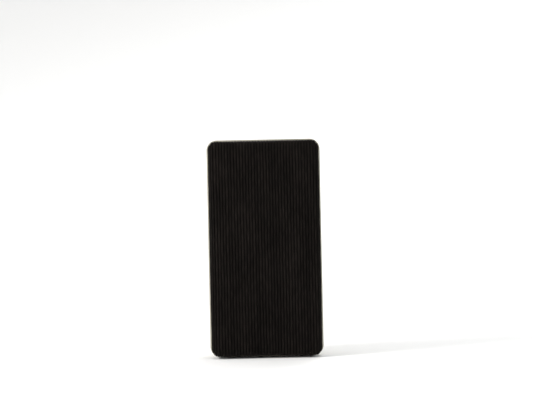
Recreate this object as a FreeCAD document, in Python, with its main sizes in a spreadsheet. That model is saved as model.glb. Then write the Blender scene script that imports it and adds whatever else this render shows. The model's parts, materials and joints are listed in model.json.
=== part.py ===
import FreeCAD, Part
import math
import os

import Sketcher

# Hand eraser for blackboards and whiteboards, standing on one short end, in millimetres.
# X is its width, Y its depth and Z its length. The cloth face looks towards -Y, the
# magnets look towards +Y, and the origin is at the middle of the end it stands on.
#
# Every piece is drawn about its own middle with its front face on its own XZ plane,
# and its Placement puts it at its depth. "Level" means a distance behind that face.

SIZES = [
    ("overall_width", 55, "housing lip, side to side"),
    ("overall_length", 105, "housing lip, end to end"),
    ("half_depth", 15, "half of the depth from the cloth face to the magnets' faces"),
    ("lip_thickness", 2.2, "flange behind the cloth"),
    ("lip_overhang", 0.8, "how far the lip stands out past the cloth"),
    ("lip_corner", 5, "corner radius of the lip"),
    ("lip_rounding", 0.5, "edge radius of the lip"),
    ("cloth_thickness", 1.2, "corduroy with its pile"),
    ("cloth_return", 8, "cloth folded behind the board, in from the lip's edge"),
    ("window_corner", 1, "corner radius of the opening inside the folded cloth"),
    ("foam_thickness", 5.6, "sponge under the cloth"),
    ("pad_rounding", 2.4, "edge radius round the cloth face"),
    ("film_thickness", 0.2, "films of adhesive"),
    ("film_setback", 0.6, "how far the rim adhesive stays inside the cloth's edge"),
    ("board_thickness", 1.6, "board behind the sponge"),
    ("housing_depth", 18.6, "rim to the back of the housing"),
    ("root_inset", 0.9, "wall where it leaves the lip, in from the lip's edge"),
    ("flare_inset", 2.6, "wall in the flare"),
    ("waist_inset", 3.3, "wall at the finger waist"),
    ("shoulder_inset", 2.9, "wall above the waist"),
    ("back_inset", 2.4, "wall at the back face"),
    ("flare_level", 6, "rim to the flare"),
    ("waist_level", 10.5, "rim to the waist"),
    ("shoulder_level", 15, "rim to the shoulder"),
    ("back_rounding", 2, "edge radius of the back face"),
    ("back_thickness", 2, "thickness of the back wall"),
    ("mouth_inset", 4.6, "cavity at the rim, in from the lip's edge"),
    ("floor_inset", 5.8, "cavity at the back wall, in from the lip's edge"),
    ("cavity_corner", 3, "corner radius of the cavity"),
    ("platform_width", 38, "raised platform on the back"),
    ("platform_length", 84, "raised platform on the back"),
    ("platform_height", 0.8, "raised platform on the back"),
    ("platform_corner", 2.5, "corner radius of the platform"),
    ("platform_rounding", 0.35, "edge radius of the platform"),
    ("magnet_width", 33, "magnet strip, along X"),
    ("magnet_length", 8, "magnet strip, along Z"),
    ("magnet_thickness", 2.4, "magnet strip"),
    ("magnet_chamfer", 0.3, "magnet strip's outer edges"),
    ("magnet_spacing", 68, "between the middles of the magnets"),
    ("magnet_count", 2, "magnet strips, each in its own pocket"),
    ("tape_thickness", 0.3, "double-sided tape under a magnet"),
    ("tape_setback", 0.4, "how far the tape stays inside the magnet's edge"),
    ("pocket_clearance", 0.2, "round each magnet"),
    ("pocket_corner", 0.6, "corner radius of a magnet pocket"),
    ("frame_width", 1.6, "raised frame round each pocket"),
    ("frame_height", 0.4, "raised frame round each pocket"),
    ("boss_margin", 1.5, "thickened wall behind each pocket, past its sides"),
    ("boss_height", 1, "thickened wall behind each pocket"),
    ("groove_length", 50, "grooves between the magnets"),
    ("groove_width", 0.8, "grooves between the magnets"),
    ("groove_depth", 0.35, "grooves between the magnets"),
    ("groove_spacing", 4.4, "between neighbouring grooves"),
    ("groove_count", 7, "grooves between the magnets"),
    ("rib_thickness", 1.4, "ribs inside the housing"),
    ("rib_gap", 1, "rim to the ribs"),
    ("rib_inset", 4.1, "ends of the ribs, in from the lip's edge"),
    ("rib_spacing", 30, "between the cross ribs"),
    ("cross_rib_count", 3, "cross ribs"),
    ("post_radius", 2.6, "glue posts"),
    ("post_spacing", 28, "between the two columns of glue posts"),
    ("post_columns", 2, "columns of glue posts"),
    ("bead_radius", 3, "bead of hot melt, at its ends"),
    ("bead_bulge", 0.6, "how far a squashed bead swells past its ends"),
]

# Depths of the layers, from the cloth face to the magnets, in the object's frame.
FOAM_FRONT = "(-sizes.half_depth + sizes.cloth_thickness)"
FILM_FRONT = f"({FOAM_FRONT} + sizes.foam_thickness)"
BOARD_FRONT = f"({FILM_FRONT} + sizes.film_thickness)"
BOARD_BACK = f"({BOARD_FRONT} + sizes.board_thickness)"
CLOTH_BACK = f"({BOARD_BACK} + sizes.cloth_thickness)"
RIM = f"({CLOTH_BACK} + sizes.film_thickness)"
MAGNET_FRONT = "(sizes.half_depth - sizes.magnet_thickness)"
TAPE_FRONT = f"({MAGNET_FRONT} - sizes.tape_thickness)"
MIDDLE = "(sizes.overall_length / 2)"

ON_LEVEL = 1e-4

document = FreeCAD.newDocument("eraser")
sizes = document.addObject("Spreadsheet::Sheet", "sizes")


def fill_sheet():
    """One row for each driving dimension: its name, its value and what it is."""
    for row, (alias, value, meaning) in enumerate(SIZES, start=1):
        sizes.set(f"A{row}", alias)
        sizes.set(f"B{row}", str(value))
        sizes.setAlias(f"B{row}", alias)
        sizes.set(f"C{row}", meaning)
    document.recompute()


def number(expression):
    """The value of an expression on the sheet."""
    return float(sizes.evalExpression(expression))


def new_body(label, depth, height=MIDDLE, side="0"):
    """An empty body whose front face will be at that depth, with its middle at that height."""
    body = document.addObject("PartDesign::Body", label)
    body.Label = label
    body.setExpression("Placement.Base.x", side)
    body.setExpression("Placement.Base.y", depth)
    body.setExpression("Placement.Base.z", height)
    return body


def origin_feature(body, role):
    """One of the body's own origin planes or axes."""
    return next(f for f in body.Origin.OriginFeatures if f.Role == role)


def new_sketch(body, name, level="0", side="0", height="0"):
    """A sketch across the object at a level, moved sideways and up from the body's middle."""
    sketch = body.newObject("Sketcher::SketchObject", name)
    sketch.AttachmentSupport = [(origin_feature(body, "XZ_Plane"), "")]
    sketch.MapMode = "FlatFace"
    sketch.setExpression("AttachmentOffset.Base.x", side)
    sketch.setExpression("AttachmentOffset.Base.y", height)
    sketch.setExpression("AttachmentOffset.Base.z", f"-({level})")
    return sketch


def dimension(sketch, name, constraint, expression):
    """Adds a named dimension that follows the sheet."""
    index = sketch.addConstraint(constraint)
    sketch.renameConstraint(index, name)
    sketch.setExpression(f"Constraints.{name}", expression)


def draw_box_outline(sketch, width, length):
    """A rectangle about the sketch's middle, with sharp corners."""
    right, top = number(width) / 2, number(length) / 2
    points = [(-right, -top), (right, -top), (right, top), (-right, top)]
    corners = [FreeCAD.Vector(x, y, 0) for x, y in points]
    first = sketch.GeometryCount
    for start, end in zip(corners, corners[1:] + corners[:1]):
        sketch.addGeometry(Part.LineSegment(start, end), False)
    sides = range(first, first + 4)
    for side, following in zip(sides, [*sides[1:], first]):
        sketch.addConstraint(Sketcher.Constraint("Coincident", side, 2, following, 1))
    for side, direction in zip(sides, ["Horizontal", "Vertical"] * 2):
        sketch.addConstraint(Sketcher.Constraint(direction, side))
    sketch.addConstraint(Sketcher.Constraint("Symmetric", first, 1, first + 2, 1, -1, 1))
    across = Sketcher.Constraint("DistanceX", first, 1, first, 2, 2 * right)
    along = Sketcher.Constraint("DistanceY", first + 1, 1, first + 1, 2, 2 * top)
    dimension(sketch, "width", across, width)
    dimension(sketch, "length", along, length)


def draw_rounded_outline(sketch, width, length, radius, prefix=""):
    """A rectangle about the sketch's middle, with four equal tangent corner arcs."""
    corner = number(radius)
    right, top = number(width) / 2, number(length) / 2
    inner_right, inner_top = right - corner, top - corner
    lines = [
        ((-inner_right, -top), (inner_right, -top)),
        ((right, -inner_top), (right, inner_top)),
        ((inner_right, top), (-inner_right, top)),
        ((-right, inner_top), (-right, -inner_top)),
    ]
    centres = [
        (inner_right, -inner_top),
        (inner_right, inner_top),
        (-inner_right, inner_top),
        (-inner_right, -inner_top),
    ]
    first = sketch.GeometryCount
    normal = FreeCAD.Vector(0, 0, 1)
    quarter = math.pi / 2
    for turn, (line, centre) in enumerate(zip(lines, centres)):
        start, end = [FreeCAD.Vector(x, y, 0) for x, y in line]
        circle = Part.Circle(FreeCAD.Vector(*centre, 0), normal, corner)
        arc = Part.ArcOfCircle(circle, (turn - 1) * quarter, turn * quarter)
        sketch.addGeometry(Part.LineSegment(start, end), False)
        sketch.addGeometry(arc, False)
    line_ids = [first + 2 * turn for turn in range(4)]
    arc_ids = [line + 1 for line in line_ids]
    for line, arc, following in zip(line_ids, arc_ids, line_ids[1:] + line_ids[:1]):
        sketch.addConstraint(Sketcher.Constraint("Tangent", line, 2, arc, 1))
        sketch.addConstraint(Sketcher.Constraint("Tangent", arc, 2, following, 1))
    for line, direction in zip(line_ids, ["Horizontal", "Vertical"] * 2):
        sketch.addConstraint(Sketcher.Constraint(direction, line))
    for arc in arc_ids[1:]:
        sketch.addConstraint(Sketcher.Constraint("Equal", arc_ids[0], arc))
    opposite = (arc_ids[0], 3, arc_ids[2], 3)
    sketch.addConstraint(Sketcher.Constraint("Symmetric", *opposite, -1, 1))
    across = Sketcher.Constraint("DistanceX", line_ids[3], 1, line_ids[1], 1, 2 * right)
    along = Sketcher.Constraint("DistanceY", line_ids[0], 1, line_ids[2], 1, 2 * top)
    rounding = Sketcher.Constraint("Radius", arc_ids[0], corner)
    dimension(sketch, prefix + "width", across, width)
    dimension(sketch, prefix + "length", along, length)
    dimension(sketch, prefix + "corner", rounding, radius)


def rectangle(body, name, width, length, **place):
    """A sketch of one sharp-cornered rectangle."""
    sketch = new_sketch(body, name, **place)
    draw_box_outline(sketch, width, length)
    return sketch


def rounded_rectangle(body, name, width, length, radius, **place):
    """A sketch of one rectangle with rounded corners."""
    sketch = new_sketch(body, name, **place)
    draw_rounded_outline(sketch, width, length, radius)
    return sketch


def extrude(body, name, sketch, depth):
    """Adds material from the sketch towards the back."""
    pad = body.newObject("PartDesign::Pad", name)
    pad.Profile = sketch
    pad.Reversed = True
    pad.setExpression("Length", depth)
    document.recompute()
    return pad


def cut(body, name, sketch, depth):
    """Removes material from the sketch towards the front."""
    before = body.Shape.Volume
    pocket = body.newObject("PartDesign::Pocket", name)
    pocket.Profile = sketch
    pocket.Reversed = True
    pocket.setExpression("Length", depth)
    document.recompute()
    if body.Shape.Volume >= before:
        raise RuntimeError(f"{name} cuts nothing")
    return pocket


def repeat(body, name, feature, role, length, count, second=None):
    """Repeats a feature along one of the body's axes, or along two as a grid."""
    pattern = body.newObject("PartDesign::LinearPattern", name)
    pattern.Originals = [feature]
    pattern.Direction = (origin_feature(body, role), [""])
    pattern.setExpression("Length", length)
    pattern.setExpression("Occurrences", count)
    if second:
        second_role, second_length, second_count = second
        pattern.Direction2 = (origin_feature(body, second_role), [""])
        pattern.setExpression("Length2", second_length)
        pattern.setExpression("Occurrences2", second_count)
    body.Tip = pattern
    document.recompute()
    return pattern


def edges_at(body, level):
    """The names of the edges that lie wholly at that level."""
    depth = number(level) + body.Placement.Base.y
    names = []
    for index, edge in enumerate(body.Shape.Edges, start=1):
        bounds = edge.BoundBox
        if abs(bounds.YMin - depth) < ON_LEVEL and abs(bounds.YMax - depth) < ON_LEVEL:
            names.append(f"Edge{index}")
    return names


def soften(body, name, kind, levels, size_property, size):
    """Fillets or chamfers every edge that lies at one of the levels."""
    names = [edge for level in levels for edge in edges_at(body, level)]
    base = body.Tip
    feature = body.newObject(f"PartDesign::{kind}", name)
    feature.Base = (base, names)
    feature.setExpression(size_property, size)
    document.recompute()
    return feature


def inset_outline(inset):
    """Width and length of an outline that lies inside the lip's edge."""
    width = f"(sizes.overall_width - 2 * {inset})"
    length = f"(sizes.overall_length - 2 * {inset})"
    return width, length


def loft(body, name, kind, sections, radius):
    """A loft through rounded rectangles, each given as its level and its inset."""
    sketches = []
    for index, (level, inset) in enumerate(sections, start=1):
        outline = inset_outline(inset)
        section_name = f"{name}_section_{index}"
        sketches.append(rounded_rectangle(body, section_name, *outline, radius, level=level))
    feature = body.newObject(f"PartDesign::{kind}", name)
    feature.Profile = sketches[0]
    feature.Sections = sketches[1:]
    document.recompute()
    return feature


def make_housing():
    """Moulded shell: lip, waisted wall, back with platform and pockets, ribs and posts."""
    body = new_body("housing", RIM)
    lip = rounded_rectangle(body, "lip_outline", *inset_outline("0"), "sizes.lip_corner")
    extrude(body, "lip", lip, "sizes.lip_thickness")
    soften(body, "lip_edges", "Fillet", ["0", "sizes.lip_thickness"], "Radius", "sizes.lip_rounding")
    wall_sections = [
        ("sizes.lip_thickness", "sizes.root_inset"),
        ("sizes.flare_level", "sizes.flare_inset"),
        ("sizes.waist_level", "sizes.waist_inset"),
        ("sizes.shoulder_level", "sizes.shoulder_inset"),
        ("sizes.housing_depth", "sizes.back_inset"),
    ]
    loft(body, "wall", "AdditiveLoft", wall_sections, "sizes.lip_corner")
    soften(body, "back_edges", "Fillet", ["sizes.housing_depth"], "Radius", "sizes.back_rounding")
    add_platform(body)
    inside_back = "(sizes.housing_depth - sizes.back_thickness)"
    cavity_sections = [("0", "sizes.mouth_inset"), (inside_back, "sizes.floor_inset")]
    loft(body, "cavity", "SubtractiveLoft", cavity_sections, "sizes.cavity_corner")
    add_pockets(body, inside_back)
    add_ribs_and_posts(body, inside_back)
    return body


def add_platform(body):
    """Low raised platform on the back, with grooves along it between the magnets."""
    size = ("sizes.platform_width", "sizes.platform_length", "sizes.platform_corner")
    top = "(sizes.housing_depth + sizes.platform_height)"
    outline = rounded_rectangle(body, "platform_outline", *size, level="sizes.housing_depth")
    extrude(body, "platform", outline, "sizes.platform_height")
    soften(body, "platform_edges", "Fillet", [top], "Radius", "sizes.platform_rounding")
    span = "(sizes.groove_spacing * (sizes.groove_count - 1))"
    place = {"level": top, "side": f"-{span} / 2"}
    first = rectangle(body, "groove_outline", "sizes.groove_width", "sizes.groove_length", **place)
    groove = cut(body, "groove", first, "sizes.groove_depth")
    repeat(body, "grooves", groove, "X_Axis", span, "sizes.groove_count")


def add_pockets(body, inside_back):
    """A raised frame, a pocket and a thickened wall for each magnet."""
    lower = "-sizes.magnet_spacing / 2"
    top = "(sizes.housing_depth + sizes.platform_height)"
    frame_top = f"({top} + sizes.frame_height)"
    pocket = [f"(sizes.magnet_{side} + 2 * sizes.pocket_clearance)" for side in ("width", "length")]
    frame = [f"({side} + 2 * sizes.frame_width)" for side in pocket]
    boss = [f"({side} + 2 * sizes.boss_margin)" for side in pocket]
    frame_corner = "(sizes.pocket_corner + sizes.frame_width)"
    outline = rounded_rectangle(body, "frame_outline", *frame, frame_corner, level=top, height=lower)
    frame_pad = extrude(body, "frame", outline, "sizes.frame_height")
    repeat(body, "frames", frame_pad, "Z_Axis", "sizes.magnet_spacing", "sizes.magnet_count")
    boss_level = f"({inside_back} - sizes.boss_height)"
    outline = rectangle(body, "boss_outline", *boss, level=boss_level, height=lower)
    boss_pad = extrude(body, "boss", outline, "sizes.boss_height")
    repeat(body, "bosses", boss_pad, "Z_Axis", "sizes.magnet_spacing", "sizes.magnet_count")
    corner = "sizes.pocket_corner"
    outline = rounded_rectangle(body, "pocket_outline", *pocket, corner, level=frame_top, height=lower)
    first = cut(body, "pocket", outline, f"{frame_top} - ({TAPE_FRONT} - {RIM})")
    repeat(body, "pockets", first, "Z_Axis", "sizes.magnet_spacing", "sizes.magnet_count")


def add_ribs_and_posts(body, inside_back):
    """Cross ribs, a spine and six glue posts that carry the board."""
    reach = inset_outline("sizes.rib_inset")
    depth = f"({inside_back} - sizes.rib_gap)"
    spine = rectangle(body, "spine_outline", "sizes.rib_thickness", reach[1], level="sizes.rib_gap")
    extrude(body, "spine", spine, depth)
    span = "(sizes.rib_spacing * (sizes.cross_rib_count - 1))"
    place = {"level": "sizes.rib_gap", "height": f"-{span} / 2"}
    outline = rectangle(body, "rib_outline", reach[0], "sizes.rib_thickness", **place)
    rib = extrude(body, "rib", outline, depth)
    repeat(body, "cross_ribs", rib, "Z_Axis", span, "sizes.cross_rib_count")
    outline = new_sketch(body, "post_outline", side="-sizes.post_spacing / 2", height=f"-{span} / 2")
    radius = number("sizes.post_radius")
    circle = Part.Circle(FreeCAD.Vector(0, 0, 0), FreeCAD.Vector(0, 0, 1), radius)
    outline.addGeometry(circle, False)
    outline.addConstraint(Sketcher.Constraint("Coincident", 0, 3, -1, 1))
    dimension(outline, "radius", Sketcher.Constraint("Radius", 0, radius), "sizes.post_radius")
    post = extrude(body, "post", outline, inside_back)
    columns = ("X_Axis", "sizes.post_spacing", "sizes.post_columns")
    repeat(body, "posts", post, "Z_Axis", span, "sizes.cross_rib_count", second=columns)


def pad_outline(inset):
    """Width, length and corner radius of a layer that lies inside the cloth's edge."""
    corner = f"(sizes.lip_corner - sizes.lip_overhang - {inset})"
    return *inset_outline(f"(sizes.lip_overhang + {inset})"), corner


def make_cover():
    """Corduroy stretched over the pad: a face, four sides and a return behind the board."""
    body = new_body("corduroy_cover", "-sizes.half_depth")
    depth = f"({CLOTH_BACK} + sizes.half_depth)"
    outline = rounded_rectangle(body, "cloth_outline", *pad_outline("0"))
    extrude(body, "cloth", outline, depth)
    soften(body, "face_edges", "Fillet", ["0"], "Radius", "sizes.pad_rounding")
    opening = inset_outline("sizes.cloth_return")
    window = rounded_rectangle(body, "window", *opening, "sizes.window_corner", level=depth)
    cut(body, "return_window", window, "sizes.cloth_thickness")
    level = f"({depth} - sizes.cloth_thickness)"
    outline = rounded_rectangle(body, "pad_space", *pad_outline("sizes.cloth_thickness"), level=level)
    cut(body, "pad_hollow", outline, f"{level} - sizes.cloth_thickness")
    return body


def make_layer(label, depth, thickness):
    """A flat layer of the pad that fills the cloth from side to side."""
    body = new_body(label, depth)
    outline = rounded_rectangle(body, f"{label}_outline", *pad_outline("sizes.cloth_thickness"))
    extrude(body, f"{label}_sheet", outline, thickness)
    return body


def make_foam():
    """Sponge, with its front edge rounded as the cloth over it is."""
    body = make_layer("foam_pad", FOAM_FRONT, "sizes.foam_thickness")
    rounding = "sizes.pad_rounding - sizes.cloth_thickness"
    soften(body, "foam_edges", "Fillet", ["0"], "Radius", rounding)
    return body


def make_rim_adhesive():
    """Ring of adhesive between the folded cloth and the housing's rim."""
    body = new_body("rim_adhesive", CLOTH_BACK)
    outline = new_sketch(body, "ring_outline")
    draw_rounded_outline(outline, *pad_outline("sizes.film_setback"), prefix="outer_")
    mouth = inset_outline("sizes.mouth_inset")
    draw_rounded_outline(outline, *mouth, "sizes.cavity_corner", prefix="inner_")
    extrude(body, "ring", outline, "sizes.film_thickness")
    return body


def make_magnet(label, height):
    """Magnet strip, with small chamfers round the face that meets the board."""
    body = new_body(label, MAGNET_FRONT, height)
    outline = rectangle(body, f"{label}_outline", "sizes.magnet_width", "sizes.magnet_length")
    extrude(body, f"{label}_strip", outline, "sizes.magnet_thickness")
    face = ["sizes.magnet_thickness"]
    soften(body, f"{label}_edges", "Chamfer", face, "Size", "sizes.magnet_chamfer")
    return body


def make_tape(label, height):
    """Double-sided tape between a magnet and the floor of its pocket."""
    body = new_body(label, TAPE_FRONT, height)
    size = [f"sizes.magnet_{side} - 2 * sizes.tape_setback" for side in ("width", "length")]
    outline = rectangle(body, f"{label}_outline", *size)
    extrude(body, f"{label}_strip", outline, "sizes.tape_thickness")
    return body


def make_glue_bead(label, side, height):
    """Bead of hot melt squashed between a post and the board, so its side bulges."""
    body = new_body(label, BOARD_BACK, height, side)
    thickness = f"({RIM} - {BOARD_BACK})"
    radius, bulge, back = number("sizes.bead_radius"), number("sizes.bead_bulge"), number(thickness)
    sketch = body.newObject("Sketcher::SketchObject", f"{label}_profile")
    sketch.AttachmentSupport = [(origin_feature(body, "XY_Plane"), "")]
    sketch.MapMode = "FlatFace"
    centre, front_rim = FreeCAD.Vector(0, 0, 0), FreeCAD.Vector(radius, 0, 0)
    widest = FreeCAD.Vector(radius + bulge, back / 2, 0)
    back_rim, back_centre = FreeCAD.Vector(radius, back, 0), FreeCAD.Vector(0, back, 0)
    sketch.addGeometry(Part.LineSegment(centre, front_rim), False)
    sketch.addGeometry(Part.Arc(front_rim, widest, back_rim), False)
    sketch.addGeometry(Part.LineSegment(back_rim, back_centre), False)
    sketch.addGeometry(Part.LineSegment(back_centre, centre), False)
    sketch.addConstraint(Sketcher.Constraint("Coincident", 0, 1, -1, 1))
    sketch.addConstraint(Sketcher.Constraint("Coincident", 0, 2, 1, 1))
    sketch.addConstraint(Sketcher.Constraint("Coincident", 1, 2, 2, 1))
    sketch.addConstraint(Sketcher.Constraint("Coincident", 2, 2, 3, 1))
    sketch.addConstraint(Sketcher.Constraint("Coincident", 3, 2, 0, 1))
    sketch.addConstraint(Sketcher.Constraint("Horizontal", 0))
    sketch.addConstraint(Sketcher.Constraint("Horizontal", 2))
    sketch.addConstraint(Sketcher.Constraint("Vertical", 3))
    sketch.addConstraint(Sketcher.Constraint("Vertical", 1, 1, 1, 2))
    flat = Sketcher.Constraint("DistanceX", 0, 1, 0, 2, radius)
    dimension(sketch, "flat_radius", flat, "sizes.bead_radius")
    dimension(sketch, "thickness", Sketcher.Constraint("DistanceY", 3, 2, 3, 1, back), thickness)
    arc_radius = "((({0}) / 2) ^ 2 + sizes.bead_bulge ^ 2) / (2 * sizes.bead_bulge)".format(thickness)
    curve = Sketcher.Constraint("Radius", 1, number(arc_radius))
    dimension(sketch, "side_radius", curve, arc_radius)
    turn = body.newObject("PartDesign::Revolution", f"{label}_turn")
    turn.Profile = sketch
    turn.ReferenceAxis = (sketch, ["V_Axis"])
    turn.Angle = 360
    document.recompute()
    return body


def make_glue_beads():
    """A bead on each of the housing's posts, numbered from the lowest left one."""
    beads = []
    for row in (-1, 0, 1):
        for column in (-1, 1):
            label = f"glue_bead_{len(beads) + 1}"
            side = f"{column} * sizes.post_spacing / 2"
            height = f"{MIDDLE} + {row} * sizes.rib_spacing"
            beads.append(make_glue_bead(label, side, height))
    return beads


def make_pieces():
    """Every piece of the eraser, from the cloth to the magnets."""
    upper = f"({MIDDLE} + sizes.magnet_spacing / 2)"
    lower = f"({MIDDLE} - sizes.magnet_spacing / 2)"
    return [
        make_cover(),
        make_foam(),
        make_layer("foam_adhesive", FILM_FRONT, "sizes.film_thickness"),
        make_layer("backing_board", BOARD_FRONT, "sizes.board_thickness"),
        make_rim_adhesive(),
        *make_glue_beads(),
        make_housing(),
        make_tape("upper_magnet_tape", upper),
        make_tape("lower_magnet_tape", lower),
        make_magnet("upper_magnet", upper),
        make_magnet("lower_magnet", lower),
    ]


def check(pieces):
    """Stops if any object failed or any piece isn't one sound solid."""
    for item in document.Objects:
        if "Invalid" in item.State or "Error" in item.State:
            raise RuntimeError(f"{item.Name} failed: {item.State}")
    for piece in pieces:
        if piece.Shape.isNull() or not piece.Shape.isValid():
            raise RuntimeError(f"{piece.Label} has no valid shape")
        if len(piece.Shape.Solids) != 1:
            raise RuntimeError(f"{piece.Label} has {len(piece.Shape.Solids)} solids")


def write(pieces):
    """One STEP file for each piece, named after it."""
    os.makedirs("parts", exist_ok=True)
    for piece in pieces:
        piece.Shape.exportStep(f"parts/{piece.Label}.step")
        print(f"{piece.Label}: {piece.Shape.Volume:.1f} mm3")


fill_sheet()
pieces = make_pieces()
document.recompute()
check(pieces)
write(pieces)
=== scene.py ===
import json
import math

import bmesh
import bpy
import numpy as np
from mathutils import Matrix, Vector
from mathutils.bvhtree import BVHTree
from mathutils.interpolate import poly_3d_calc


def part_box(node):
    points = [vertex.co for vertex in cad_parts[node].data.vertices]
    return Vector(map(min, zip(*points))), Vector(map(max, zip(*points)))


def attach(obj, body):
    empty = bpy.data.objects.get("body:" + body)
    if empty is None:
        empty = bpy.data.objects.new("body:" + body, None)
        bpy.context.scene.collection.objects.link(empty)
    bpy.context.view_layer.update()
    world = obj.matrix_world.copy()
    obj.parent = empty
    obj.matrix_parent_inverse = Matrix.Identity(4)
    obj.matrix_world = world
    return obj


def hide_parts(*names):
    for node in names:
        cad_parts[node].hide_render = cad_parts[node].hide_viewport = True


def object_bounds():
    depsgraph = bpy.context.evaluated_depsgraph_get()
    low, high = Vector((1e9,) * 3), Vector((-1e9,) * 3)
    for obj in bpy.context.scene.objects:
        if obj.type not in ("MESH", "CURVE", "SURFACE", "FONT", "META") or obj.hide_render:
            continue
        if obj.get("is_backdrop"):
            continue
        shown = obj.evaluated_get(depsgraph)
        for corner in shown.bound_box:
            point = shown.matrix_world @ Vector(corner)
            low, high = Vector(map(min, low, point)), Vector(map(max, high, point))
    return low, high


# The looks of a hand eraser: ribbed cloth over a sponge pad, a moulded housing with two
# magnet strips on its back, and the board, films and beads of glue between them.

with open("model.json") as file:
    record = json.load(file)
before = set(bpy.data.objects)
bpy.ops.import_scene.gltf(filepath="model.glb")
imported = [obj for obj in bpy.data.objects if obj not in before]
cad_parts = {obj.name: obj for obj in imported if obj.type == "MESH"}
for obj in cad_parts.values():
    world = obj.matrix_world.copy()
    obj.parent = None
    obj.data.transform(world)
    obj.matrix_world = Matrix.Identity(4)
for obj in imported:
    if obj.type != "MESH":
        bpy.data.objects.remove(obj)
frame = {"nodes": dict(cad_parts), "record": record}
cad_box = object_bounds()

# Shapes and patterns are worked out in millimetres. MM turns them into metres.
MM = 0.001
QUARTER = math.pi / 2

# The pad is drawn about the middle of its face: x across, z along, and depth behind it.
# The sponge fills the cloth, so it lies inside it by the cloth's thickness.
PAD_LOW, PAD_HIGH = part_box("corduroy_cover")
PAD_WIDTH, PAD_DEPTH, PAD_LENGTH = (PAD_HIGH - PAD_LOW) / MM
PAD_MIDDLE = (PAD_LOW + PAD_HIGH) / 2
FOAM_LOW, FOAM_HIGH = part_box("foam_pad")
FOAM_FRONT = (FOAM_LOW.y - PAD_LOW.y) / MM
FOAM_BACK = (FOAM_HIGH.y - PAD_LOW.y) / MM
CLOTH = (FOAM_LOW.x - PAD_LOW.x) / MM

# The pad's corner and edge radii, the radius of the fold round the board, how far the cloth
# reaches in behind the board, and the bevel on inner edges.
PAD_CORNER = 4.2
PAD_ROUNDING = 2.4
TUCK = 0.8
CLOTH_RETURN = 7.2
BEVEL = 0.2

# The wales that lie between the pad's corners, and how many points draw the round of each.
WALE_COUNT = 32
WALE_PITCH = (PAD_WIDTH - 2 * PAD_CORNER) / WALE_COUNT
WALE_HEIGHT = 0.6
WALE_SAMPLES = 8

# How many rings of points go round the cloth's tuck, along its part behind the board and
# round its inner edge, and round the sponge's edge and down its sides, from that depth in it.
TUCK_RINGS = 6
RETURN_RINGS = 3
INNER_EDGE_RINGS = 5
SPONGE_EDGE_RINGS = 7
SPONGE_SIDE_RINGS = 4
SPONGE_SIDE_START = 2

# How far in from the edge the rings lie on the flat inside of the cloth, and on the sponge.
CLOTH_INSETS = (5, 9, 14, 19, 24)
SPONGE_INSETS = (3.5, 7, 12, 17, 22)

# The cloth simulation works on a plain, coarse skin of the pad, ten times as large, because
# Blender's cloth is tuned to things the size of a cushion. Sponge gives way far less than
# the air that stands in for it, so the pad takes only a share of the skin's movement.
ENLARGED = 10
SETTLING_STEPS = 20
SOFTNESS = 0.22

# Rings of the skin round its edge, and as many again down its sides.
SKIN_RINGS = 4

# The cloth is stiff and a little too small for the pad, and the air inside swells it.
TAUT_CLOTH = {
    "quality": 8,
    "shrink_min": 0.001,
    "shrink_max": 0.006,
    "use_pressure": True,
    "uniform_pressure_force": 0.4,
    "tension_stiffness": 400,
    "compression_stiffness": 400,
    "shear_stiffness": 130,
}

# Depths this close together count as the same.
CLOSE = 0.01

rng = np.random.default_rng(seed=20)


class Outline:
    """A rounded rectangle, as rings of points from the lower left corner round to the right.

    A point keeps its share of a side, or its turn round a corner, at every inset, so rings
    at different insets join point to point.
    """

    LEAST_CORNER = 1.0

    def __init__(self, width, length, corner, columns, rows, corner_steps):
        self.half_width = width / 2
        self.half_length = length / 2
        self.corner = corner
        turns = np.linspace(QUARTER, 0, corner_steps + 1)[:-1]
        edge = np.ones(corner_steps)
        self.columns = np.concatenate([-edge, np.linspace(-1, 1, columns + 1), edge])
        self.turns = np.concatenate([turns, np.zeros(columns + 1), turns[::-1]])
        self.rows = np.linspace(-1, 1, rows + 1)
        inner = self.rows[1:-1]
        end, side = np.ones(len(self.columns)), np.ones(len(inner))
        self.across = np.concatenate([self.columns, side, self.columns[::-1], -side])
        self.along = np.concatenate([-end, inner, end, inner[::-1]])
        self.turn = np.concatenate([self.turns, QUARTER * side, self.turns[::-1], QUARTER * side])

    def ring(self, inset):
        """x and z of every point, and the x and z of its outward direction."""
        corner = max(self.corner - inset, self.LEAST_CORNER)
        out_x = np.sign(self.across) * np.sin(self.turn)
        out_z = np.sign(self.along) * np.cos(self.turn)
        x = self.across * (self.half_width - inset - corner) + out_x * corner
        z = self.along * (self.half_length - inset - corner) + out_z * corner
        return x, z, out_x, out_z

    def size(self):
        """How many points a ring has."""
        return len(self.turn)


def smooth_step(value):
    """0 below 0, 1 above 1, and a smooth climb between."""
    value = np.clip(value, 0, 1)
    return value * value * (3 - 2 * value)


def wave(place, other, length, wander, over):
    """A wave along one direction, from -1 to 1, that wanders along the other one."""
    return np.sin(place / length + wander * np.sin(other / over))


def band(first, second):
    """Quads between two rings, given the numbers of their points."""
    return np.stack([first, np.roll(first, -1), np.roll(second, -1), second], axis=1).tolist()


def face_outwards(mesh):
    """Turns every face of a closed mesh to point outwards."""
    work = bmesh.new()
    work.from_mesh(mesh)
    bmesh.ops.recalc_face_normals(work, faces=work.faces)
    work.to_mesh(mesh)
    work.free()


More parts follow.
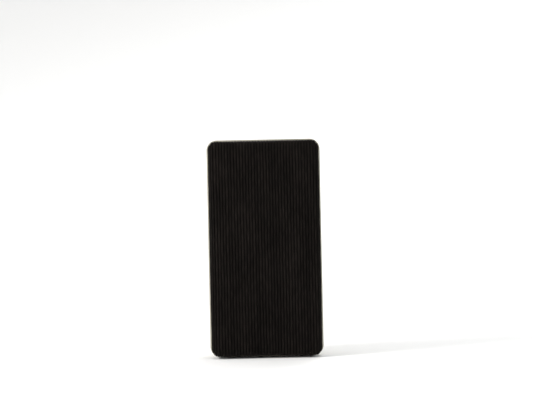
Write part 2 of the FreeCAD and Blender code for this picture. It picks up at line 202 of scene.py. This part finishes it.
def pad_mesh(name, points, faces, facts=None):
    """A smooth mesh in the frame, from points in the pad's own millimetres."""
    placed = points * MM
    placed += (PAD_MIDDLE.x, PAD_LOW.y, PAD_MIDDLE.z)
    mesh = bpy.data.meshes.new(name)
    mesh.from_pydata(placed.tolist(), [], faces)
    for fact, (kind, values) in (facts or {}).items():
        attribute = mesh.attributes.new(fact, kind, "POINT")
        attribute.data.foreach_set("vector" if kind == "FLOAT_VECTOR" else "value", values.ravel())
    face_outwards(mesh)
    mesh.shade_smooth()
    piece = bpy.data.objects.new(name, mesh)
    bpy.context.scene.collection.objects.link(piece)
    return piece


class Corduroy:
    """The wales of the cloth: how high the pile stands at any place on it.

    Each wale has a height of its own, which wavers along it over a length of its own, and
    all of them sway a little from side to side. Its top is round and its sides are steep.
    """

    # More wales than the cloth has, so that each has its own place in the tables.
    WALES = 120
    UNEVENNESS = 0.14
    WAVER = 0.07
    SHORTEST_WAVE = 6
    WAVE_SPREAD = 7
    SLOW_SWAY = 0.05
    QUICK_SWAY = 0.03
    QUICK_LENGTH = 2.3
    ROUNDNESS = 2.4
    STEEPNESS = 0.6

    def __init__(self):
        self.tallness = 1 - self.UNEVENNESS * rng.random(self.WALES)
        self.start = rng.random(self.WALES) * 2 * math.pi
        self.length = self.SHORTEST_WAVE + self.WAVE_SPREAD * rng.random(self.WALES)

    def pile(self, across, along):
        """From 0 in a valley to about 1 on a wale, at a place given in the flat cloth."""
        sway = self.SLOW_SWAY * wave(along, across, length=6.1, wander=2, over=4.7)
        sway += self.QUICK_SWAY * np.sin(along / self.QUICK_LENGTH)
        phase = (across + sway) / WALE_PITCH
        wale = np.floor(phase)
        share = phase - wale
        number = (wale.astype(int) + self.WALES // 2) % self.WALES
        angle = along / self.length[number] * 2 * math.pi + self.start[number]
        waver = 1 - self.WAVER * (1 + np.sin(angle))
        section = (1 - np.abs(2 * share - 1) ** self.ROUNDNESS) ** self.STEEPNESS
        return section * self.tallness[number] * waver


def outer_profile(length):
    """A point of the cloth's outer profile, that length from the edge of the flat face.

    It gives the inset, the depth and the outward and backward parts of its direction.
    """
    curve = PAD_ROUNDING * QUARTER
    side = PAD_DEPTH - PAD_ROUNDING - TUCK
    tuck = TUCK * QUARTER
    if length < curve:
        angle = length / PAD_ROUNDING
        inset = PAD_ROUNDING * (1 - math.sin(angle))
        return inset, PAD_ROUNDING * (1 - math.cos(angle)), math.sin(angle), -math.cos(angle)
    length -= curve
    if length < side:
        return 0, PAD_ROUNDING + length, 1, 0
    length -= side
    if length < tuck:
        angle = length / TUCK
        depth = PAD_DEPTH - TUCK * (1 - math.sin(angle))
        return TUCK * (1 - math.cos(angle)), depth, math.cos(angle), math.sin(angle)
    return TUCK + length - tuck, PAD_DEPTH, 0, 1


def profile_lengths():
    """Where the rings of the outer profile lie: close together down the sides, where the
    wales cross them, then a few round the tuck and along the part folded behind the board."""
    step = WALE_PITCH / WALE_SAMPLES
    sides = PAD_ROUNDING * QUARTER + PAD_DEPTH - PAD_ROUNDING - TUCK
    tucked = sides + TUCK * QUARTER
    first = step - (PAD_CORNER - PAD_ROUNDING) % step
    lengths = list(np.arange(first, sides - step / 2, step))
    lengths += list(np.linspace(sides, tucked, TUCK_RINGS))
    lengths += list(np.linspace(tucked, tucked + CLOTH_RETURN - TUCK, RETURN_RINGS + 1)[1:])
    return lengths, sides, tucked


# The pleat at each corner: where it starts below the face, how long it takes to open, how
# far the flap stands up and fades away, and how deep and wide the dip beside it is.
PLEAT_START = 1.0
PLEAT_OPENING = 3.5
FLAP_HEIGHT = 0.42
FLAP_WIDTH = 1.7
DIP_DEPTH = 0.6
DIP_PLACE = 0.22
DIP_WIDTH = 0.3


def pleat(outline, length):
    """How far the cloth stands out beside the pleat at each corner.

    The end's flap is folded over the side's, so it stands proud up to the fold and the
    cloth dips in next to it.
    """
    past = (outline.turn - QUARTER / 2) * PAD_CORNER
    opening = smooth_step((length - PLEAT_START) / PLEAT_OPENING)
    flap = np.where(past <= 0, FLAP_HEIGHT * np.exp(past / FLAP_WIDTH), 0)
    dip = DIP_DEPTH * np.exp(-((past - DIP_PLACE) / DIP_WIDTH) ** 2)
    return opening * (flap - dip)


def face_grid(outline):
    """The flat face, one row of points along each column: its x, its z, its faces and the
    points round its edge."""
    edge_x, edge_z, _, _ = outline.ring(PAD_ROUNDING)
    columns, rows = len(outline.columns), len(outline.rows)
    x = np.repeat(edge_x[:columns], rows)
    z = (-edge_z[:columns, None] * outline.rows[None, :]).ravel()
    grid = np.arange(columns * rows).reshape(columns, rows)
    corners = [grid[:-1, :-1], grid[1:, :-1], grid[1:, 1:], grid[:-1, 1:]]
    ring = np.concatenate([grid[:, 0], grid[-1, 1:-1], grid[::-1, -1], grid[0, -2:0:-1]])
    return x, z, np.stack(corners, axis=-1).reshape(-1, 4).tolist(), ring


def pull(points):
    """How tightly the cloth is pulled at each point, from 0.1 to 0.9, in uneven patches."""
    x, _, z = points.T
    across = wave(x, z, length=5.1, wander=1.3, over=11)
    along = wave(z, x, length=8.3, wander=1.7, over=9)
    return 0.5 + 0.2 * (across + along)


class SettledSkin:
    """The pad's plain skin, settled as taut cloth over a springy filling. The ribbed cloth
    and the sponge follow it."""

    def __init__(self):
        self.points, self.faces = self.build()
        self.moves = SOFTNESS * (self.simulate() - self.points)
        self.tree = BVHTree.FromPolygons(self.points.tolist(), self.faces)

    def build(self):
        """The skin before it settles: the face, the rounded edge, the sides and a flat back."""
        outline = Outline(PAD_WIDTH, PAD_LENGTH, PAD_CORNER, columns=16, rows=32, corner_steps=4)
        x, z, faces, ring = face_grid(outline)
        points = [np.stack([x, np.zeros(len(x)), z], axis=1)]
        curve = np.linspace(0, PAD_ROUNDING * QUARTER, SKIN_RINGS + 1)[1:]
        sides = np.linspace(PAD_ROUNDING, FOAM_BACK, SKIN_RINGS + 1)[1:]
        profile = [outer_profile(length)[:2] for length in curve]
        profile += [(0, depth) for depth in sides]
        profile.append((0, PAD_DEPTH))
        for step, (inset, depth) in enumerate(profile):
            following = np.arange(outline.size()) + len(x) + step * outline.size()
            ring_x, ring_z, _, _ = outline.ring(inset)
            points.append(np.stack([ring_x, np.full(outline.size(), depth), ring_z], axis=1))
            faces += band(ring, following)
            ring = following
        faces.append(ring.tolist())
        return np.concatenate(points), faces

    def simulate(self):
        """Where the points come to rest. The board holds those beside it and behind it."""
        scene = bpy.context.scene
        mesh = bpy.data.meshes.new("plain_skin")
        mesh.from_pydata((self.points * MM * ENLARGED).tolist(), [], self.faces)
        face_outwards(mesh)
        piece = bpy.data.objects.new("plain_skin", mesh)
        scene.collection.objects.link(piece)
        held = piece.vertex_groups.new(name="held")
        beside_board = self.points[:, 1] > FOAM_BACK - CLOSE
        held.add(np.flatnonzero(beside_board).tolist(), 1, "REPLACE")
        tight = piece.vertex_groups.new(name="tight")
        for number, tightness in enumerate(pull(self.points)):
            tight.add([number], tightness, "REPLACE")
        cloth = piece.modifiers.new("cloth", "CLOTH")
        cloth.point_cache.frame_end = SETTLING_STEPS
        for setting, value in TAUT_CLOTH.items():
            setattr(cloth.settings, setting, value)
        cloth.settings.vertex_group_mass = "held"
        cloth.settings.vertex_group_shrink = "tight"
        cloth.settings.effector_weights.gravity = 0
        for step in range(1, SETTLING_STEPS + 1):
            scene.frame_set(step)
        settled = piece.evaluated_get(bpy.context.evaluated_depsgraph_get()).to_mesh()
        points = np.array([corner.co for corner in settled.vertices]) / (MM * ENLARGED)
        bpy.data.objects.remove(piece)
        bpy.data.meshes.remove(mesh)
        scene.frame_set(1)
        return points

    def follow(self, points):
        """Moves each point as the skin nearest to it moved."""
        moved = points.copy()
        for number, point in enumerate(points):
            place, _, face, _ = self.tree.find_nearest(point)
            corners = self.faces[face]
            shares = poly_3d_calc([Vector(self.points[corner]) for corner in corners], place)
            moved[number] += np.dot(shares, self.moves[corners])
        return moved


def make_cover(settled):
    """Corduroy stretched over the pad. Its wales run along the face, over both ends and
    along the sides, and the cloth is folded in at each corner and behind the board."""
    cloth = Corduroy()
    columns = WALE_COUNT * WALE_SAMPLES
    outline = Outline(PAD_WIDTH, PAD_LENGTH, PAD_CORNER, columns, rows=80, corner_steps=24)
    points, across, along, pile = [], [], [], []

    def add(x, depth, z, cloth_across, cloth_along, height):
        """Adds points with their places in the flat cloth, and gives their numbers."""
        first = sum(len(group) for group in points)
        points.append(np.stack([x, depth, z], axis=1))
        across.append(cloth_across)
        along.append(cloth_along)
        pile.append(height)
        return np.arange(first, first + len(x))

    face_x, face_z, faces, ring = face_grid(outline)
    height = cloth.pile(face_x, face_z)
    add(face_x, WALE_HEIGHT * (1 - height), face_z, face_x, face_z, height)

    # The outer skin, ring by ring from the face's edge to the cut edge behind the board.
    edge_x, edge_z, _, _ = outline.ring(PAD_ROUNDING)
    on_end = outline.turn < QUARTER / 2
    lengths, sides, tucked = profile_lengths()
    corner_x = np.abs(edge_x) - (outline.half_width - PAD_CORNER)
    for length in lengths:
        inset, depth, outwards, backwards = outer_profile(length)
        x, z, out_x, out_z = outline.ring(inset)
        bend = smooth_step(length / PAD_ROUNDING / QUARTER)
        fan = np.where(outline.turn > 0, (PAD_CORNER * outline.turn - corner_x) * bend, 0)
        sideways = np.sign(edge_x) * (np.abs(edge_x) + np.where(on_end, fan, length))
        lengthways = np.sign(edge_z) * (np.abs(edge_z) + np.where(on_end, length, 0))
        height = cloth.pile(sideways, lengthways)
        flat = smooth_step((length - sides) / (tucked - sides))
        out = (pleat(outline, length) - WALE_HEIGHT * (1 - height)) * (1 - flat)
        placed = (x + out * outwards * out_x, depth + out * backwards, z + out * outwards * out_z)
        following = add(*placed, sideways, lengthways, height)
        faces += band(ring, following)
        ring = following

    # The plain inner skin: behind the board, up the sides and in to the middle of the face.
    board_back = PAD_DEPTH - CLOTH
    inner = [(CLOTH_RETURN, board_back), (CLOTH + BEVEL, board_back), (CLOTH, board_back - BEVEL)]
    rounding = PAD_ROUNDING - CLOTH
    for angle in np.linspace(QUARTER, 0, INNER_EDGE_RINGS):
        inset = PAD_ROUNDING - rounding * math.sin(angle)
        inner.append((inset, PAD_ROUNDING - rounding * math.cos(angle)))
    inner += [(inset, CLOTH) for inset in CLOTH_INSETS]
    zero = np.zeros(outline.size())
    for inset, depth in inner:
        x, z, _, _ = outline.ring(inset)
        following = add(x, zero + depth, z, x, z, zero)
        faces += band(ring, following)
        ring = following
    faces.append(ring.tolist())

    flat_cloth = np.stack([np.concatenate(across), np.concatenate(along)], axis=1)
    flat_cloth = np.column_stack([flat_cloth, np.zeros(len(flat_cloth))])
    facts = {"cloth": ("FLOAT_VECTOR", flat_cloth), "pile": ("FLOAT", np.concatenate(pile))}
    return pad_mesh("ribbed_cloth", settled.follow(np.concatenate(points)), faces, facts)


def make_foam(settled):
    """The sponge, which fills the cloth and has its front edge rounded in the same way."""
    width, length = PAD_WIDTH - 2 * CLOTH, PAD_LENGTH - 2 * CLOTH
    outline = Outline(width, length, PAD_CORNER - CLOTH, columns=36, rows=72, corner_steps=8)
    rounding = PAD_ROUNDING - CLOTH
    profile = [(inset, FOAM_FRONT) for inset in reversed(SPONGE_INSETS)]
    for angle in np.linspace(0, QUARTER, SPONGE_EDGE_RINGS):
        inset = rounding * (1 - math.sin(angle))
        profile.append((inset, FOAM_FRONT + rounding * (1 - math.cos(angle))))
    side = (FOAM_FRONT + SPONGE_SIDE_START, FOAM_BACK - BEVEL)
    profile += [(0, depth) for depth in np.linspace(*side, SPONGE_SIDE_RINGS)]
    profile.append((BEVEL, FOAM_BACK))
    profile += [(inset, FOAM_BACK) for inset in SPONGE_INSETS]
    points, faces, ring = [], [], None
    for step, (inset, depth) in enumerate(profile):
        x, z, _, _ = outline.ring(inset)
        points.append(np.stack([x, np.full(len(x), depth), z], axis=1))
        following = np.arange(outline.size()) + step * outline.size()
        faces += [following.tolist()] if ring is None else band(ring, following)
        ring = following
    faces.append(ring.tolist())
    return pad_mesh("sponge", settled.follow(np.concatenate(points)), faces)


class Finish:
    """A material under construction. Patterns take their places and sizes in millimetres."""

    def __init__(self, name):
        self.material = bpy.data.materials.new(name)
        self.material.use_nodes = True
        self.tree = self.material.node_tree
        self.surface = self.tree.nodes["Principled BSDF"]

    def node(self, kind, inputs, output=0, **settings):
        """Adds a node. An input is a number, a colour or another node's output."""
        made = self.tree.nodes.new(kind)
        for name, value in settings.items():
            setattr(made, name, value)
        for name, value in inputs.items():
            self.put(made.inputs[name], value)
        return made.outputs[output]

    def put(self, socket, value):
        """Sets an input, or links it."""
        if isinstance(value, bpy.types.NodeSocket):
            self.tree.links.new(value, socket)
        else:
            socket.default_value = value

    def set(self, **inputs):
        """Sets the surface shader's inputs, by their names in small letters."""
        for socket in self.surface.inputs:
            name = socket.name.lower().replace(" ", "_")
            if name in inputs:
                self.put(socket, inputs[name])

    def place(self, stretch=(1, 1, 1)):
        """The place on the object in millimetres, with each axis stretched."""
        where = self.node("ShaderNodeTexCoord", {}, "Object")
        scale = [number / MM for number in stretch]
        return self.node("ShaderNodeVectorMath", {0: where, 1: scale}, operation="MULTIPLY")

    def stretched(self, vector, stretch):
        """A place with each axis stretched."""
        return self.node("ShaderNodeVectorMath", {0: vector, 1: stretch}, operation="MULTIPLY")

    def attribute(self, name, output):
        """A value stored on the mesh."""
        return self.node("ShaderNodeAttribute", {}, output, attribute_name=name)

    def noise(self, vector, size, detail=3.0, roughness=0.5, distortion=0.0):
        """Cloudy noise from 0 to 1, with blotches of about that size."""
        inputs = {"Vector": vector, "Scale": 1 / size, "Detail": detail}
        inputs.update({"Roughness": roughness, "Distortion": distortion})
        return self.node("ShaderNodeTexNoise", inputs)

    def cells(self, vector, size, feature="F1"):
        """Distance to the middle of the nearest cell, or to its edge."""
        inputs = {"Vector": vector, "Scale": 1 / size}
        return self.node("ShaderNodeTexVoronoi", inputs, "Distance", feature=feature)

    def scale(self, value, low, high, new_low=0.0, new_high=1.0):
        """Moves a value from one range to another, and holds it inside the new one."""
        inputs = {"Value": value, "From Min": low, "From Max": high}
        inputs.update({"To Min": new_low, "To Max": new_high})
        return self.node("ShaderNodeMapRange", inputs)

    def sums(self, operation, first, second):
        """One step of arithmetic."""
        return self.node("ShaderNodeMath", {0: first, 1: second}, operation=operation)

    def mix(self, share, low, high):
        """A colour between two."""
        inputs = {0: share, 6: low, 7: high}
        return self.node("ShaderNodeMix", inputs, 2, data_type="RGBA")

    def shade(self, colour, amount):
        """A colour made lighter or darker by a number round 1."""
        return self.node("ShaderNodeVectorMath", {0: colour, "Scale": amount}, operation="SCALE")

    def bump(self, height, distance, normal=None):
        """Relief of that many millimetres, on top of an earlier one."""
        inputs = {"Height": height, "Distance": distance * MM}
        if normal:
            inputs["Normal"] = normal
        return self.node("ShaderNodeBump", inputs)


def colour(red, green, blue):
    """An opaque colour, in linear light."""
    return (red, green, blue, 1.0)


def corduroy_finish():
    """Near-black cotton pile: tufts in rows along each wale, a bare weave between, painted shade in
    the valleys.
    """
    finish = Finish("corduroy")
    cloth = finish.attribute("cloth", "Vector")
    pile = finish.attribute("pile", "Fac")
    tufts = finish.noise(finish.stretched(cloth, (1, 0.55, 1)), 0.3, detail=4, roughness=0.65)
    rows = finish.noise(finish.stretched(cloth, (0.35, 1, 1)), 0.42, detail=2)
    nap = finish.noise(finish.stretched(cloth, (1, 0.4, 1)), 9, detail=3)
    # The crests are painted lighter and the valleys darker, as painted light and shade on top of the
    # wales' own; the tufts vary the tone at random.
    crest_painted_light = finish.sums("POWER", pile, 2.4)
    painted_light_and_tufts = finish.sums("MULTIPLY", crest_painted_light, finish.scale(tufts, 0.3, 0.7, 0.3, 1.3))
    base = finish.mix(painted_light_and_tufts, colour(0.0013, 0.001, 0.0009), colour(0.0134, 0.0109, 0.0095))
    worn = finish.scale(nap, 0.3, 0.72, 0.72, 1.36)
    finish.set(base_color=finish.shade(base, worn))
    finish.set(roughness=finish.scale(tufts, 0.3, 0.7, 0.98, 0.82))
    finish.set(specular_ior_level=0.05, sheen_weight=0.1, sheen_roughness=0.38)
    finish.set(sheen_tint=colour(0.43, 0.40, 0.38))
    relief = finish.bump(rows, 0.12)
    relief = finish.bump(tufts, 0.16, relief)
    finish.set(normal=relief)
    return finish.material


def foam_finish():
    """Open-celled grey sponge, with painted shade in its pores."""
    finish = Finish("foam")
    where = finish.place()
    cells = finish.cells(where, 0.7)
    tone = finish.noise(where, 6)
    # The cells are painted darker towards their middles, as painted shade in the pores.
    depth = finish.scale(cells, 0, 0.6)
    shade = finish.mix(depth, colour(0.07, 0.07, 0.075), colour(0.27, 0.27, 0.28))
    finish.set(base_color=finish.shade(shade, finish.scale(tone, 0.3, 0.7, 0.85, 1.12)))
    finish.set(roughness=finish.scale(cells, 0, 0.6, 1.0, 0.8), sheen_weight=0.15)
    finish.set(normal=finish.bump(cells, 0.5))
    return finish.material


def housing_finish():
    """Warm grey moulded plastic with a fine spark-eroded grain, rubbed smoother on its edges."""
    finish = Finish("housing")
    where = finish.place()
    tone = finish.noise(where, 22, detail=4)
    clouds = finish.noise(where, 5, detail=3)
    grain = finish.noise(where, 0.34, detail=3, roughness=0.6)
    flow = finish.noise(finish.place((1, 1, 0.06)), 1.2, detail=3)
    # An edge is where the rounded-off surface leans away from the real one.
    bent = finish.node("ShaderNodeBevel", {"Radius": 0.9 * MM}, samples=6)
    straight = finish.node("ShaderNodeNewGeometry", {}, "Normal")
    both = {0: bent, 1: straight}
    facing = finish.node("ShaderNodeVectorMath", both, "Value", operation="DOT_PRODUCT")
    edges = finish.scale(facing, 0.995, 0.86)
    rubbed = finish.sums("MULTIPLY", edges, finish.scale(clouds, 0.35, 0.6))
    tone = finish.scale(tone, 0.35, 0.65)
    base = finish.mix(tone, colour(0.382, 0.362, 0.297), colour(0.418, 0.396, 0.325))
    base = finish.mix(finish.scale(grain, 0.62, 0.75, 0, 0.35), base, colour(0.322, 0.309, 0.251))
    base = finish.mix(finish.sums("MULTIPLY", rubbed, 0.55), base, colour(0.525, 0.508, 0.43))
    finish.set(base_color=base)
    dull = finish.scale(clouds, 0.3, 0.7, 0.36, 0.48)
    finish.set(roughness=finish.sums("SUBTRACT", dull, finish.sums("MULTIPLY", rubbed, 0.14)))
    finish.set(specular_ior_level=0.45)
    relief = finish.bump(grain, 0.07)
    finish.set(normal=finish.bump(flow, 0.02, relief))
    return finish.material


def magnet_finish():
    """Ferrite-filled rubber: near-black, matte, rolled lengthways, with painted glints for a faint
    sparkle.
    """
    finish = Finish("magnet")
    lines = finish.noise(finish.place((0.04, 1, 1)), 0.25, detail=4, roughness=0.6)
    where = finish.place()
    painted_glint_specks = finish.cells(where, 0.35)
    dust = finish.noise(where, 4, detail=4)
    streaks = finish.scale(lines, 0.3, 0.7)
    base = finish.mix(streaks, colour(0.017, 0.017, 0.018), colour(0.034, 0.034, 0.036))
    # Small specks are painted lighter: painted glints, for a faint sparkle.
    base = finish.mix(finish.scale(painted_glint_specks, 0.12, 0.05, 0, 0.5), base, colour(0.09, 0.09, 0.095))
    base = finish.mix(finish.scale(dust, 0.55, 0.8, 0, 0.35), base, colour(0.07, 0.068, 0.062))
    finish.set(base_color=base, roughness=finish.scale(lines, 0.3, 0.7, 0.68, 0.5))
    finish.set(specular_ior_level=0.4, normal=finish.bump(lines, 0.05))
    return finish.material


def board_finish():
    """Grey-brown greyboard with pressed fibres."""
    finish = Finish("board")
    fibres = finish.noise(finish.place((1, 1, 0.25)), 0.6, detail=5, roughness=0.7, distortion=1.2)
    blotches = finish.noise(finish.place(), 5, detail=4)
    strands = finish.scale(fibres, 0.3, 0.7)
    base = finish.mix(strands, colour(0.24, 0.21, 0.165), colour(0.42, 0.37, 0.3))
    finish.set(base_color=finish.shade(base, finish.scale(blotches, 0.3, 0.7, 0.86, 1.1)))
    finish.set(roughness=finish.scale(fibres, 0.3, 0.7, 0.95, 0.8), normal=finish.bump(fibres, 0.08))
    return finish.material


def hot_melt_finish():
    """Milky amber hot melt, smooth and slightly see-through."""
    finish = Finish("hot_melt")
    swirls = finish.noise(finish.place(), 1.6, detail=3, distortion=1.5)
    base = finish.mix(swirls, colour(0.72, 0.62, 0.4), colour(0.82, 0.76, 0.6))
    finish.set(base_color=base, roughness=finish.scale(swirls, 0.3, 0.7, 0.22, 0.36))
    finish.set(subsurface_weight=0.3, subsurface_scale=0.8 * MM, normal=finish.bump(swirls, 0.06))
    return finish.material


def adhesive_finish():
    """Dried contact adhesive, yellowish and brushed on unevenly."""
    finish = Finish("adhesive")
    strokes = finish.noise(finish.place((1, 1, 0.15)), 1.4, detail=4, roughness=0.6)
    base = finish.mix(strokes, colour(0.5, 0.44, 0.32), colour(0.64, 0.58, 0.46))
    finish.set(base_color=base, roughness=finish.scale(strokes, 0.3, 0.7, 0.3, 0.5))
    finish.set(normal=finish.bump(strokes, 0.05))
    return finish.material


def tape_finish():
    """White paper tape with a fine crepe across it."""
    finish = Finish("tape")
    crepe = finish.noise(finish.place((1, 1, 0.12)), 0.3, detail=3)
    base = finish.mix(crepe, colour(0.62, 0.61, 0.57), colour(0.8, 0.8, 0.77))
    finish.set(base_color=base, roughness=finish.scale(crepe, 0.3, 0.7, 0.9, 0.75))
    finish.set(normal=finish.bump(crepe, 0.05))
    return finish.material


FINISHES = {
    "corduroy": corduroy_finish,
    "foam": foam_finish,
    "adhesive": adhesive_finish,
    "board": board_finish,
    "hot_melt": hot_melt_finish,
    "housing": housing_finish,
    "tape": tape_finish,
    "magnet": magnet_finish,
}


def dress_nodes(finishes):
    """Gives each carried-over CAD node the finish of its material slot."""
    for part in frame["record"]["subparts"]:
        node = frame["nodes"][part["node"]]
        node.data.materials.clear()
        node.data.materials.append(finishes[part["material_slot"]])


def dress_piece(piece, finish, node):
    """Gives a new piece its finish and its body, and hides the CAD node that it stands for."""
    piece.data.materials.append(finish)
    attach(piece, "root")
    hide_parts(node)


def build_pad(finishes):
    """The cloth and the sponge, in place of their plain solids."""
    settled = SettledSkin()
    cover = make_cover(settled)
    dress_piece(cover, finishes["corduroy"], "corduroy_cover")
    foam = make_foam(settled)
    dress_piece(foam, finishes["foam"], "foam_pad")


# The room is a pale bowl with no corners: a small flat floor, and a curve up all round it.
FLOOR_RADIUS = 0.35
FLOOR_CENTRE = 0.05
FLOOR_RINGS = 7
COVE_RADIUS = 2.0
COVE_TURN = math.radians(60)
COVE_RINGS = 24
ROOM_STEPS = 96

# The camera's lens and sensor are in millimetres. The view is that wide at the cloth face.
LENS = 85
SENSOR = 36
VIEW_WIDTH = 0.254
CAMERA_SIDE = 0.0012
CAMERA_ABOVE_MIDDLE = 0.0231
CAMERA_ROLL = math.radians(1.2)

WHITE = (1, 1, 1)
WARM_WHITE = (1, 0.985, 0.96)
COOL_WHITE = (0.96, 0.98, 1)
SKY_STRENGTH = 0.52


def make_room():
    """A floor that curves up into a wall all round, so that no edge shows."""
    profile = [(radius, 0.0) for radius in np.linspace(FLOOR_CENTRE, FLOOR_RADIUS, FLOOR_RINGS)]
    for angle in np.linspace(0, COVE_TURN, COVE_RINGS + 1)[1:]:
        radius = FLOOR_RADIUS + COVE_RADIUS * math.sin(angle)
        profile.append((radius, COVE_RADIUS * (1 - math.cos(angle))))
    turns = np.arange(ROOM_STEPS) * 2 * math.pi / ROOM_STEPS
    points, faces = [], [list(range(ROOM_STEPS))[::-1]]
    for radius, height in profile:
        points += [(radius * math.cos(turn), radius * math.sin(turn), height) for turn in turns]
    for number in range(len(profile) - 1):
        inner = np.arange(ROOM_STEPS) + number * ROOM_STEPS
        faces += band(inner, inner + ROOM_STEPS)
    mesh = bpy.data.meshes.new("studio_floor")
    mesh.from_pydata(points, [], faces)
    mesh.shade_smooth()
    room = bpy.data.objects.new("studio_floor", mesh)
    bpy.context.scene.collection.objects.link(room)
    finish = Finish("studio_floor")
    finish.set(base_color=colour(0.95, 0.95, 0.945), roughness=0.9, specular_ior_level=0.1)
    mesh.materials.append(finish.material)
    room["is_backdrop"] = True


def add_lamp(name, kind, place, size, power, tint):
    """A soft lamp. A round one shines all ways, and a square one shines straight down."""
    lamp = bpy.data.lights.new(name, kind)
    if kind == "AREA":
        lamp.size = size
    else:
        lamp.shadow_soft_size = size / 2
    lamp.energy = power
    lamp.color = tint
    holder = bpy.data.objects.new(name, lamp)
    holder.location = place
    holder.visible_camera = False
    bpy.context.scene.collection.objects.link(holder)


def light_room():
    """Key from the upper left of the camera, a broad top lamp, and gentle fills all round."""
    add_lamp("key_lamp", "POINT", (-0.72, -0.3, 0.5), size=0.3, power=23, tint=WARM_WHITE)
    add_lamp("top_lamp", "AREA", (0.05, 0.1, 1.15), size=0.8, power=2.5, tint=WHITE)
    add_lamp("right_lamp", "POINT", (0.75, -0.15, 0.45), size=0.5, power=4.4, tint=COOL_WHITE)
    add_lamp("back_lamp", "POINT", (0.3, 0.8, 0.55), size=0.5, power=11.5, tint=WHITE)
    world = bpy.data.worlds.new("studio")
    world.use_nodes = True
    background = world.node_tree.nodes["Background"]
    background.inputs["Color"].default_value = colour(*WHITE)
    background.inputs["Strength"].default_value = SKY_STRENGTH
    bpy.context.scene.world = world
    bpy.context.scene.view_settings.view_transform = "Standard"


def place_camera():
    """Level, square to the cloth face and a little high, turned slightly about its own axis."""
    lens = bpy.data.cameras.new("camera")
    lens.lens = LENS
    lens.sensor_width = SENSOR
    camera = bpy.data.objects.new("camera", lens)
    distance = VIEW_WIDTH * LENS / SENSOR
    height = PAD_MIDDLE.z + CAMERA_ABOVE_MIDDLE
    camera.location = (PAD_MIDDLE.x + CAMERA_SIDE, PAD_LOW.y - distance, height)
    camera.rotation_euler = (QUARTER, CAMERA_ROLL, 0)
    bpy.context.scene.collection.objects.link(camera)
    bpy.context.scene.camera = camera


finishes = {slot: make() for slot, make in FINISHES.items()}
dress_nodes(finishes)
build_pad(finishes)
make_room()
light_room()
place_camera()

boxes = {"cad": cad_box, "visual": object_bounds()}
boxes = {name: [list(corner) for corner in box] for name, box in boxes.items()}
